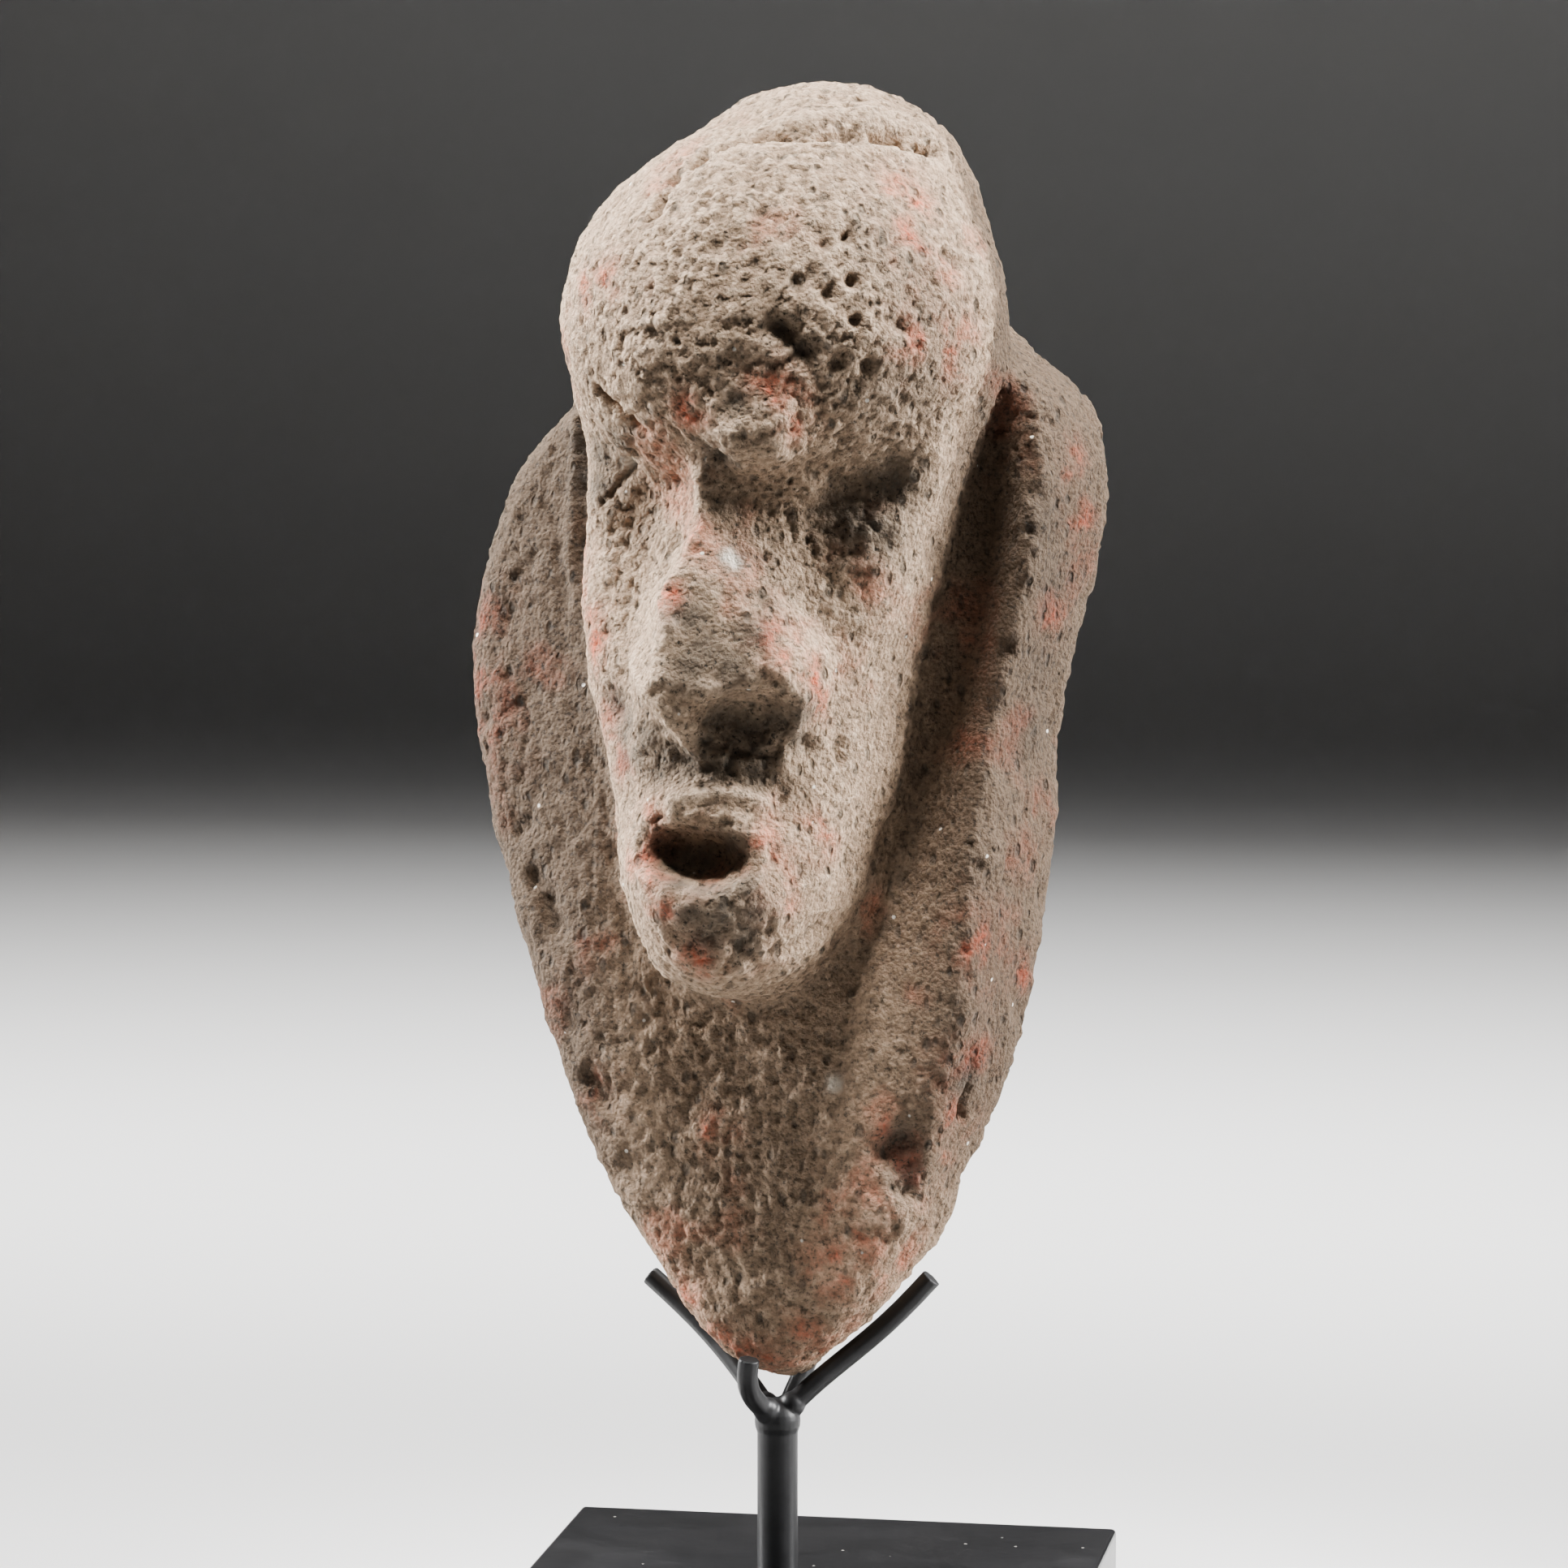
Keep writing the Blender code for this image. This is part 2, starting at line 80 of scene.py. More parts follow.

# Widths of the stone's pits and unevenness, in millimetres
FINE_PITS, SLAB_PITS, BROW_PITS = 1.9, 2.0, 2.1
SLAB_PIT_STRETCH = (1, 1, 1.6)  # the slab's pits are longest upwards
BROW_PIT_DIRECTION, BROW_PIT_SQUEEZE = (0.8, 0.0, 0.6), 0.55  # the brow's run up to the right
COARSE_PIT_SPACING, COARSE_PIT_SHARE = 4.4, 0.06
COARSE_PIT_WOBBLE, WOBBLE_LENGTH = 1.2, 1.7
LUMPS, GRAIN, CHIPS, RAGGED_BITS = 15, 2.4, 9, 4
PITTED_PATCHES, OCHRE_PATCHES, OCHRE_TRACES = 30, 7, 22

# Levels of that unevenness, which is from -1 to 1: where pits begin, and where patches start and are full
FINE_PIT_LEVEL, SLAB_PIT_LEVEL, BROW_PIT_LEVEL = 0.1, 0.02, 0.12
PIT_SLOPE = 0.45  # from a pit's rim to its full depth
CHIP_LEVELS, PATCH_LEVELS = (0.05, 0.6), (-0.35, 0.35)
OCHRE_PATCH_LEVELS, OCHRE_TRACE_LEVELS = (-0.3, 0.35), (0.25, 0.7)

# Scattered round pits: radius in spacings, with what the largest has more, and the floor's share of it
SMALL_PIT, LARGE_PIT_MORE, PIT_FLOOR = 0.28, 0.3, 0.45
SPOT_SCATTER = 7.3  # takes neighbouring spots to other random values

# Bends of the surface: rounds of averaging, and the depth that counts as fully bent
EDGE_BEND = 16, 0.5 * MILLIMETRE
NEAR_HOLLOW = 4, 0.22 * MILLIMETRE
WIDE_HOLLOW = 40, 1.1 * MILLIMETRE

# Sizes of the materials' patterns, in metres
CLOUDS, BLOTCHES, GRIT, SAND = 0.045, 0.009, 0.0013, 0.0011
PINHOLE_SPACING, FLECK_SPACING = 0.0026, 0.0035
DUST_PATCHES, RUBBED_PATCHES = 0.03, 0.012
PAPER_MOTTLE, PAPER_FIBRE, PAPER_FIBRE_DEPTH = 0.25, 0.0008, 0.00005
PAINT_RIPPLE_DEPTH, LACQUER_RIPPLE_DEPTH = 0.00006, 0.00003
DUST_COLOUR, SPECK_COLOUR = (0.20, 0.19, 0.18), (0.35, 0.33, 0.30)

# Cradle and sweep
CRADLE_SMOOTHING = 5
BEAD_SUBDIVISIONS = 3
ROD_ROOT_LENGTH = 0.003
BEND_STEPS = 13

# Camera, and the photograph's frame in pixels
CAMERA_PLACE = Vector((0.2193, -1.2663, 0.3644))
CAMERA_AZIMUTH = radians(10)
CAMERA_PITCH = radians(6.54)
LENS, SENSOR = 130, 36
PHOTO_SIZE = 1932

# Lights: place, what it is aimed at, width and height, setting of its power, spread in degrees
HEAD_MIDDLE = Vector((0, 0, 0.26))
BROW_FRONT = Vector((0.01, -0.06, 0.34))
FLOOR_BEHIND = Vector((0, 0.65, 0))
LIGHTS = {
    "left light": ((-0.66, 0.14, 0.54), HEAD_MIDDLE, (0.22, 0.6), "left_power", 40),
    "right light": ((0.68, 0.16, 0.56), HEAD_MIDDLE, (0.22, 0.6), "right_power", 40),
    "top light": ((-0.04, -0.24, 1.10), BROW_FRONT, (0.2, 0.2), "top_power", 18),
    "front light": ((-0.15, -1.0, 0.9), HEAD_MIDDLE, (0.5, 0.5), "front_power", 50),
    "floor light": ((0, 0.5, 1.1), FLOOR_BEHIND, (1.8, 0.3), "floor_power", 85),
}

# Marks on the stone, by the pixels of the photograph where they show, with a radius in millimetres.
# Pits and grooves also have a depth in millimetres, which is negative where they stand proud.
PITS = (
    (((957, 403), (972, 414), (989, 436)), 3.3, 3.6),  # double pit of the brow
    (((1050, 345), (1055, 395), (1045, 290), (1020, 362)), 2.3, 2.3),
    (((985, 350), (1030, 450), (1070, 450), (930, 325), (940, 260), (1000, 335)), 2.2, 1.7),
    (((1165, 312), (1180, 325), (880, 300), (1110, 400), (1015, 300)), 2.4, 1.6),
    (((762, 872), (748, 858)), 3.4, 1.2),  # left nostril
    (((1034, 915), (1036, 935)), 2.0, 1.5),  # cheek
    (((1108, 1405), (1118, 1440), (1122, 1470), (1090, 1420)), 4.2, 2.4),  # dent low on the right
    (((655, 1085), (672, 1108), (682, 1135), (742, 1352), (725, 1330)), 4.0, 2.2),  # left edge
    (((608, 640), (596, 880), (640, 1020), (700, 1260), (770, 1440)), 4.5, 1.4),
    (((1340, 740), (1300, 900), (1290, 1100), (1262, 1240), (1200, 1440)), 4.5, 1.8),  # right edge
    (((885, 562), (779, 560), (776, 572)), 2.2, 1.8),  # root of the nose, and the gouge's deep end
    (((905, 496),), 4.6, 1.2),  # round spot above the nose
    (((835, 1052), (880, 1058)), 4.6, 1.6),  # mouth
    (((905, 692),), 2.6, 0.8),  # chip on the nose
)
GROOVES = (
    (((855, 196), (905, 176), (940, 168), (1000, 167), (1060, 170)), 2.0, 1.7),  # under the crest
    (((1040, 164), (1075, 166), (1110, 171), (1150, 184)), 2.4, 3.4),
    (((960, 150), (1010, 146), (1065, 142), (1110, 148), (1140, 162)), 4.0, -1.3),  # rim of the crest
    (((865, 195), (835, 212), (815, 240), (800, 275)), 1.9, 2.0),  # left of the crest
    (((738, 484), (752, 498), (768, 514), (790, 530)), 1.7, 2.6),  # crack under the brow
    (((776, 578), (764, 592), (756, 606), (742, 618)), 1.1, 1.0),  # gouge of the temple
    (((866, 918), (900, 926), (950, 926), (994, 914)), 2.4, 1.6),  # under the nose
    (((945, 1150), (905, 1168), (870, 1150)), 3.5, 0.9),  # chin
    (((935, 1180), (970, 1168), (1005, 1150)), 3.0, 0.9),  # facet under the jaw
    (((1198, 1290), (1194, 1330), (1188, 1372)), 2.4, 1.7),  # streak on the right edge
    (((640, 690), (622, 800), (640, 900)), 5.0, 0.5),  # left wing
    (((866, 585), (862, 640), (842, 690), (822, 740), (822, 772)), 1.8, -1.6),  # ridge of the nose
    (((772, 800), (784, 838), (825, 885), (850, 916)), 3.2, -0.6),  # left wing of the nose
    (((872, 660), (915, 705), (975, 762), (1018, 815)), 2.8, -0.5),  # right edge of the nose's facet
    (((838, 600), (832, 660), (812, 715)), 3.6, 1.0),  # hollow along the left flank
    (((712, 515), (706, 600), (704, 680), (714, 750)), 2.4, -1.2),  # left edge of the face
    (((828, 986), (870, 979), (910, 979), (944, 992)), 2.2, -1.2),  # upper lip
    (((941, 1030), (943, 1070), (922, 1096)), 1.8, -1.0),  # right corner of the mouth
    (((795, 1110), (828, 1165), (885, 1200), (935, 1178), (962, 1125)), 2.6, -0.7),  # rim of the chin
    (((885, 592), (930, 600), (990, 600)), 6.0, -2.4),  # under the brow, beside the nose
)
OCHRE = (
    (((1118, 240), (1125, 275), (1135, 300), (1150, 330), (1180, 430), (1130, 420)), 7),  # right brow
    (((722, 352), (745, 345)), 5),  # left of the brow
    (((958, 478), (975, 500), (940, 462), (985, 520), (850, 505)), 4.5),  # above the nose
    (((592, 700), (590, 770), (598, 840), (604, 900)), 9),  # left edge
    (((1322, 570), (1332, 640), (1296, 760)), 6),  # right edge
    (((857, 655), (842, 700), (826, 738)), 3.6),  # ridge of the nose
    (((950, 785), (975, 800), (1005, 830), (1012, 860)), 5),  # right wing of the nose
    (((768, 940), (792, 1010), (798, 1080), (822, 1130), (864, 1182)), 5),  # left of mouth and chin
    (((730, 745), (734, 790), (740, 840), (750, 890)), 5),  # left edge of the face
    (((950, 1050), (960, 1100), (1005, 1030), (788, 1050)), 6),  # corners of the mouth
    (((1205, 1165), (1215, 1180)), 7),  # right of the slab
    (((1195, 1310), (1175, 1390), (1120, 1450), (1060, 1500), (1040, 1560), (1100, 1560)), 8),  # dent, tip
    (((1080, 1380), (885, 1390), (740, 1350), (1285, 1000), (1260, 1200)), 5),  # spots on the slab
    (((840, 1600), (862, 1635), (900, 1660), (950, 1690), (1000, 1660)), 7),  # point of the stone
)
# Painted shade: dark colour at spots where shade falls, in pits, nostril, mouth, chin, socket and dent
SHADE_SPOTS = (
    (((960, 405), (988, 430)), 3.5),  # double pit of the brow
    (((905, 495),), 4),  # round spot above the nose
    (((885, 562), (740, 560), (735, 600), (762, 540), (722, 545), (724, 590)), 5),  # nose's root, temple
    (((758, 868), (775, 890), (800, 908), (828, 928), (850, 940), (890, 945), (930, 948)), 6),  # nostril
    (((870, 915), (930, 920), (985, 910), (905, 912)), 4),  # under the nose
    (((880, 888), (920, 895), (960, 890), (988, 880)), 5),
    (((850, 760), (870, 800), (900, 820), (850, 820), (930, 780)), 6),  # facet of the nose
    (((820, 1045), (860, 1055), (905, 1045)), 6),  # mouth
    (((835, 1090), (862, 1096), (890, 1098), (920, 1092)), 4.5),  # chin
    (((850, 1125), (890, 1130), (930, 1125), (870, 1155), (920, 1155)), 5.5),
    (((770, 905), (785, 930), (815, 945), (770, 935)), 5),  # left of the nose's foot
    (((1050, 640), (1100, 600), (1080, 650)), 9),  # right socket
    (((1110, 1410), (1120, 1450), (1190, 1330)), 6),  # dent low on the right
)
DIM_PLACES = (  # wide places with a little painted shade: nose, right of the brow and right edge
    (((895, 620), (920, 680), (945, 740), (905, 700)), 7),
    (((1120, 330), (1145, 400), (1105, 480), (1085, 300), (1150, 470)), 12),
    (((1290, 640), (1300, 720), (1280, 820), (1270, 900)), 9),
)
DIM_PLACE_STRENGTH = 0.45
SMOOTH_SPOTS = (
    (((880, 868), (915, 872), (950, 876), (980, 880)), 5),  # under the nose
    (((950, 1178), (985, 1160)), 6),  # under the jaw
)
FRESH_CHIPS = ((((905, 692), (898, 686), (770, 572), (1027, 1335)), 1.6),)

# Share of a mark's radius at which it has faded to about a third
PIT_FADE, GROOVE_FADE, SHADE_FADE = 0.75, 0.8, 0.9


# Geometry


def between(value, low, high):
    """0 below low, 1 above high and smooth between them."""
    share = np.clip((value - low) / (high - low), 0, 1)
    return share * share * (3 - 2 * share)


def faded(distance, radius):
    """1 at no distance, fading to 0 at about twice the radius."""
    return np.exp(-((distance / radius) ** 2))


def points_of(mesh):
    places = np.empty(len(mesh.vertices) * 3)
    mesh.vertices.foreach_get("co", places)
    return places.reshape(-1, 3)


def normals_of(mesh):
    directions = np.empty(len(mesh.vertices) * 3)
    mesh.vertex_normals.foreach_get("vector", directions)
    return directions.reshape(-1, 3)


def edges_of(mesh):
    ends = np.empty(len(mesh.edges) * 2, np.int32)
    mesh.edges.foreach_get("vertices", ends)
    return ends.reshape(-1, 2)


def averaged(values, edges, rounds):
    """Values at the vertices, each made the mean of its neighbours' so many times."""
    count = np.bincount(edges.ravel(), minlength=len(values))
    for _ in range(rounds):
        total = np.stack(
            [
                np.bincount(edges[:, 0], column[edges[:, 1]], len(values))
                + np.bincount(edges[:, 1], column[edges[:, 0]], len(values))
                for column in values.T
            ],
            1,
        )
        values = total / count[:, None]
    return values


def hollowness(mesh, points, edges, rounds, full_depth):
    """How deep each vertex lies in its surroundings, as a share of a depth. Below 0 it stands proud."""
    return ((averaged(points, edges, rounds) - points) * normals_of(mesh)).sum(1) / full_depth


def keep_on_vertices(mesh, name, values):
    """Stores a value of each vertex, for the material to read."""
    attribute = mesh.attributes.new(name, "FLOAT", "POINT")
    attribute.data.foreach_set("value", np.clip(values, 0, 1).astype(np.float32))


def link_piece(mesh, name):
    piece = bpy.data.objects.new(name, mesh)
    bpy.context.scene.collection.objects.link(piece)
    return piece


def apply_modifiers(piece):
    """Gives the piece the mesh that its modifiers make of its own."""
    graph = bpy.context.evaluated_depsgraph_get()
    graph.update()
    before = piece.data
    piece.data = bpy.data.meshes.new_from_object(piece.evaluated_get(graph))
    piece.modifiers.clear()
    bpy.data.meshes.remove(before)
    if not piece.data.polygons:
        raise RuntimeError(f"the mesh of {piece.name} came out empty")
    piece.data.name = piece.name
    piece.data.shade_smooth()


def remeshed(mesh, name, spacing, smoothing):
    """A piece with the mesh's form in small even faces, its facets and creases smoothed."""
    piece = link_piece(mesh, name)
    remesh = piece.modifiers.new("Even faces", "REMESH")
    remesh.mode = "VOXEL"
    remesh.voxel_size = spacing
    smooth = piece.modifiers.new("Smooth", "SMOOTH")
    smooth.iterations = smoothing
    apply_modifiers(piece)
    return piece


def thin_out(piece, triangles):
    """Leaves the piece so many triangles, by merging those where it is flattest."""
    piece.data.calc_loop_triangles()
    fewer = piece.modifiers.new("Fewer faces", "DECIMATE")
    fewer.ratio = min(1.0, triangles / len(piece.data.loop_triangles))
    apply_modifiers(piece)


def camera_turn():
    """The way the camera looks, as a quaternion."""
    level = cos(CAMERA_PITCH)
    ahead = Vector((-sin(CAMERA_AZIMUTH) * level, cos(CAMERA_AZIMUTH) * level, -sin(CAMERA_PITCH)))
    return ahead.to_track_quat("-Z", "Y")


class PhotoRays:
    """Finds what the photograph shows at a pixel, on a piece's surface."""

    def __init__(self, piece):
        self.skin = BVHTree.FromPolygons(
            [v.co for v in piece.data.vertices], [f.vertices for f in piece.data.polygons]
        )
        self.turn = camera_turn()
        self.focal_pixels = LENS / SENSOR * PHOTO_SIZE

    def stone_point(self, pixel):
        """The point of the surface at the pixel, in the stone's frame, or the nearest one to the ray."""
        across, down = (value - PHOTO_SIZE / 2 for value in pixel)
        ray = self.turn @ Vector((across, -down, -self.focal_pixels)).normalized()
        hit = self.skin.ray_cast(CAMERA_PLACE, ray)[0]
        if hit is None:
            beside = CAMERA_PLACE + ray * (STONE_POINT - CAMERA_PLACE).dot(ray)
            hit = self.skin.find_nearest(beside)[0]
        return np.array(STONE_PLACE.inverted() @ hit)

    def stone_points(self, pixels):
        return [self.stone_point(pixel) for pixel in pixels]


def distance_to_spots(places, spots):
    """How far each place is from the nearest of the spots."""
    return np.min([np.linalg.norm(places - spot, axis=1) for spot in spots], axis=0)


def distance_to_path(places, path):
    """How far each place is from a path of straight pieces."""
    nearest = np.full(len(places), np.inf)
    for start, end in zip(path, path[1:]):
        along = end - start
        share = np.clip((places - start) @ along / max(along @ along, 1e-9), 0, 1)
        nearest = np.minimum(nearest, np.linalg.norm(places - start - share[:, None] * along, axis=1))
    return nearest


def marked(places, rays, table, fade=1.0):
    """1 at the spots of a table, fading over a share of each row's radius."""
    mask = np.zeros(len(places))
    for pixels, radius in table:
        distance = distance_to_spots(places, rays.stone_points(pixels))
        mask = np.maximum(mask, faded(distance, radius * fade))
    return mask


def swell(places, size, octaves, shift=0):
    """Soft lumps about as wide as size, from about -1 to 1. A shift gives another pattern."""
    return np.array([noise.fractal(Vector(place), 1.0, 2.0, octaves) for place in (places + shift) / size])


def eroded(places, size, level):
    """Hollows without a regular shape, about as wide as size, as depths from 0 to 1."""
    return between(swell(places, size, 3), level, level + PIT_SLOPE)


def pitted(places, spacing, share):
    """Round pits scattered about one spacing apart, as depths from 0 to 1. A share of the spots has one."""
    found = [noise.voronoi(Vector(place)) for place in places / spacing]
    distance = np.array([near[0] for near, _ in found])
    chance = np.array([(noise.cell(spots[0] * SPOT_SCATTER) + 1) / 2 for _, spots in found])
    radius = SMALL_PIT + LARGE_PIT_MORE * chance / share
    depth = 1 - between(distance, PIT_FLOOR * radius, radius)
    return np.where(chance < share, depth, 0)


def squeezed(places, direction, share):
    """Places brought closer along a direction, so that what is laid out on them comes out longer there."""
    direction = np.array(direction) / np.linalg.norm(direction)
    return places @ (np.eye(3) - (1 - share) * np.outer(direction, direction))


def slab_share(places):
    """1 on the slab and 0 on the head."""
    return 1 - between(-places[:, 1], SLAB_FRONT, FACE_SIDE)


def mark_depths(places, rays):
    """How far each place lies under the plain form because of a named mark. Grooves are ragged."""
    depths = np.zeros(len(places))
    ragged = 0.5 + between(swell(places, RAGGED_BITS, 3, shift=20), *PATCH_LEVELS)
    for pixels, radius, depth in PITS:
        for spot in rays.stone_points(pixels):
            depths += depth * faded(distance_to_spots(places, [spot]), radius * PIT_FADE)
    for pixels, radius, depth in GROOVES:
        distance = distance_to_path(places, rays.stone_points(pixels))
        line = depth * faded(distance, radius * GROOVE_FADE)
        depths += line * ragged if depth > 0 else line
    return depths


def sunk_depths(places, sharpness, rays, settings):
    """How far each place goes in for the stone's pits, lumps, grain, chipped edges and marks."""
    brow = between(places[:, 2], FACE_TOP, BROW_BOTTOM)
    slab = slab_share(places)
    upright = places / np.array(SLAB_PIT_STRETCH)
    fine_pits = eroded(places, FINE_PITS, FINE_PIT_LEVEL) * (1 - slab)
    fine_pits += eroded(upright, SLAB_PITS, SLAB_PIT_LEVEL) * slab
    wobbled = places + COARSE_PIT_WOBBLE * np.sin(places[:, [1, 2, 0]] / WOBBLE_LENGTH)
    coarse_pits = pitted(wobbled, COARSE_PIT_SPACING, COARSE_PIT_SHARE)
    slanting = squeezed(places, BROW_PIT_DIRECTION, BROW_PIT_SQUEEZE)
    brow_pits = eroded(slanting, BROW_PITS, BROW_PIT_LEVEL) * brow
    lumps = swell(places, LUMPS, 3)
    grain = swell(places, GRAIN, 3)
    chips = between(swell(places, CHIPS, 3, shift=50), *CHIP_LEVELS)

    patchy = 0.55 + 0.45 * between(swell(places, PITTED_PATCHES, 2), *PATCH_LEVELS)
    patchy *= 1 - 0.85 * marked(places, rays, SMOOTH_SPOTS)
    sunk = settings.fine_pit_depth * fine_pits * patchy
    sunk += settings.coarse_pit_depth * coarse_pits * (0.5 + 0.5 * brow) * patchy
    sunk += settings.brow_pit_depth * brow_pits
    sunk -= settings.lump_height * lumps * (1 + 0.6 * sharpness)
    sunk -= settings.grain_height * grain
    sunk += settings.edge_chip_depth * sharpness * chips
    sunk += MILLIMETRE * mark_depths(places, rays)
    return sunk


def keep_colour_masks(mesh, points, places, edges, rays):
    """Stores where the stone is hollow, where painted shade goes on the slab and at listed spots, where it is
    stained with ochre and where it is freshly chipped.
    """
    near_hollow = hollowness(mesh, points, edges, *NEAR_HOLLOW)
    wide_hollow = hollowness(mesh, points, edges, *WIDE_HOLLOW)
    keep_on_vertices(mesh, "hollow", 0.5 + 0.3 * near_hollow + 0.2 * wide_hollow)
    # painted shade on the slab, darkest at its wings
    wings = between(np.abs(places[:, 0]), SLAB_CENTRE, SLAB_WING)
    keep_on_vertices(mesh, "unrubbed", slab_share(places) * (0.35 + 0.65 * wings))
    left = 0.1 + 0.9 * between(swell(places, OCHRE_PATCHES, 4, shift=-30), *OCHRE_PATCH_LEVELS)
    traces = 0.35 * between(swell(places, OCHRE_TRACES, 4, shift=90), *OCHRE_TRACE_LEVELS)
    keep_on_vertices(mesh, "ochre", np.maximum(marked(places, rays, OCHRE) * left, traces))
    # painted shade: full at the listed spots, weaker over the wide places
    dimmed = DIM_PLACE_STRENGTH * marked(places, rays, DIM_PLACES, SHADE_FADE)
    keep_on_vertices(mesh, "grime", np.maximum(marked(places, rays, SHADE_SPOTS, SHADE_FADE), dimmed))
    keep_on_vertices(mesh, "fresh", marked(places, rays, FRESH_CHIPS))


def weather(piece, settings):
    """Moves the stone's vertices for its weathered relief, and stores where its colour changes."""
    mesh = piece.data
    rays = PhotoRays(piece)
    to_stone = np.array(STONE_PLACE.inverted())
    points = points_of(mesh)
    places = points @ to_stone[:3, :3].T + to_stone[:3, 3]
    edges = edges_of(mesh)
    outward = normals_of(mesh)
    sharpness = np.clip(-hollowness(mesh, points, edges, *EDGE_BEND), 0, 1)
    moved = points - outward * sunk_depths(places, sharpness, rays, settings)[:, None]
    mesh.vertices.foreach_set("co", moved.ravel())
    mesh.update()
    keep_colour_masks(mesh, moved, places, edges, rays)


# Shader nodes


def add_node(tree, kind, inputs=None, **settings):
    """Adds a node and fills its inputs with values or with other nodes' outputs."""
    made = tree.nodes.new(kind)
    for name, value in settings.items():
        setattr(made, name, value)
    for key, value in (inputs or {}).items():
        if isinstance(value, bpy.types.NodeSocket):
            tree.links.new(value, made.inputs[key])
        else:
            made.inputs[key].default_value = value
    return made


def noise_value(tree, place, size, detail, roughness):
    """Noise with features about as wide as size, in metres."""
    inputs = {"Vector": place, "Scale": 1 / size, "Detail": detail, "Roughness": roughness}
    return add_node(tree, "ShaderNodeTexNoise", inputs).outputs["Fac"]


def cells(tree, place, size):
    return add_node(tree, "ShaderNodeTexVoronoi", {"Vector": place, "Scale": 1 / size})


def cell_chance(tree, spots, channel="Red"):
    """A random value of each cell, from 0 to 1."""
    return add_node(tree, "ShaderNodeSeparateColor", {0: spots.outputs["Color"]}).outputs[channel]


def ramped(tree, value, low, high, first=0.0, last=1.0):
    """The value mapped from low and high to first and last, and held beyond them."""
    inputs = {"Value": value, "From Min": low, "From Max": high, "To Min": first, "To Max": last}
    return add_node(tree, "ShaderNodeMapRange", inputs).outputs["Result"]


def maths(tree, operation, a, b=0.0, clamp=False):
    return add_node(tree, "ShaderNodeMath", {0: a, 1: b}, operation=operation, use_clamp=clamp).outputs[0]


def times(tree, a, b):
    return maths(tree, "MULTIPLY", a, b)


def mixed(tree, share, a, b, blend="MIX"):
    """Two colours mixed by a share. Each is a node's output or three numbers."""
    first, second = (value if isinstance(value, bpy.types.NodeSocket) else (*value, 1) for value in (a, b))
    inputs = {0: share, 6: first, 7: second}
    return add_node(tree, "ShaderNodeMix", inputs, data_type="RGBA", blend_type=blend).outputs[2]


def stored(tree, name):
    """A value kept on the vertices."""
    return add_node(tree, "ShaderNodeAttribute", attribute_name=name).outputs["Fac"]


def bump(tree, height, depth, strength=1.0):
    inputs = {"Height": height, "Distance": depth, "Strength": strength}
    return add_node(tree, "ShaderNodeBump", inputs).outputs["Normal"]


def new_group(name, inputs, outputs):
    """An empty node group with named sockets, and its input and output nodes."""
    tree = bpy.data.node_groups.new(name, "ShaderNodeTree")
    for label, kind, default in inputs:
        socket = tree.interface.new_socket(label, in_out="INPUT", socket_type=kind)
        if default is not None:
            socket.default_value = default
    for label, kind in outputs:
        tree.interface.new_socket(label, in_out="OUTPUT", socket_type=kind)
    return tree, tree.nodes.new("NodeGroupInput").outputs, tree.nodes.new("NodeGroupOutput").inputs


def dust_group():
    """Dust that lies on what faces up: single specks, and a thin film in patches."""
    known = bpy.data.node_groups.get("Settled dust")
    if known:
        return known
    tree, given, made = new_group(
        "Settled dust",
        [
            ("Place", "NodeSocketVector", None),
            ("Speck spacing", "NodeSocketFloat", 0.004),
            ("Speck share", "NodeSocketFloat", 0.1),
            ("Film", "NodeSocketFloat", 0.1),
        ],
        [("Specks", "NodeSocketFloat"), ("Film", "NodeSocketFloat")],
    )
    normal = add_node(tree, "ShaderNodeNewGeometry").outputs["Normal"]
    up = add_node(tree, "ShaderNodeSeparateXYZ", {0: normal}).outputs["Z"]
    faces_up = ramped(tree, up, 0.3, 0.9)
    inputs = {"Vector": given["Place"], "Scale": maths(tree, "DIVIDE", 1.0, given["Speck spacing"])}
    spots = add_node(tree, "ShaderNodeTexVoronoi", inputs)
    chosen = maths(tree, "LESS_THAN", cell_chance(tree, spots), given["Speck share"])
    small = ramped(tree, spots.outputs["Distance"], 0.06, 0.12, 1.0, 0.0)
    tree.links.new(times(tree, times(tree, chosen, small), faces_up), made["Specks"])
    patches = ramped(tree, noise_value(tree, given["Place"], DUST_PATCHES, 5.0, 0.7), 0.42, 0.7)
    tree.links.new(times(tree, times(tree, patches, given["Film"]), faces_up), made["Film"])
    return tree


def paint_group():
    """The skin of sprayed paint: a faint ripple, fine grain and rubbed patches."""
    known = bpy.data.node_groups.get("Paint skin")
    if known:
        return known
    tree, given, made = new_group(
        "Paint skin",
        [
            ("Place", "NodeSocketVector", None),
            ("Grain size", "NodeSocketFloat", 0.0004),
            ("Ripple size", "NodeSocketFloat", 0.003),
        ],
        [("Height", "NodeSocketFloat"), ("Rub", "NodeSocketFloat")],
    )
    heights = []
    for label, detail in (("Ripple size", 1.0), ("Grain size", 2.0)):
        scale = maths(tree, "DIVIDE", 1.0, given[label])
        inputs = {"Vector": given["Place"], "Scale": scale, "Detail": detail}
        heights.append(add_node(tree, "ShaderNodeTexNoise", inputs).outputs["Fac"])
    ripple, grain = heights
    tree.links.new(maths(tree, "ADD", ripple, times(tree, grain, 0.4)), made["Height"])
    rub = ramped(tree, noise_value(tree, given["Place"], RUBBED_PATCHES, 6.0, 0.75), 0.35, 0.75)
    tree.links.new(rub, made["Rub"])
    return tree


# Materials


def new_material(name):
    """A material with only its shader and output, and its tree, shader and object coordinates."""
    material = bpy.data.materials.new(name)
    material.use_nodes = True
    tree = material.node_tree
    place = add_node(tree, "ShaderNodeTexCoord").outputs["Object"]
    return material, tree, tree.nodes["Principled BSDF"], place


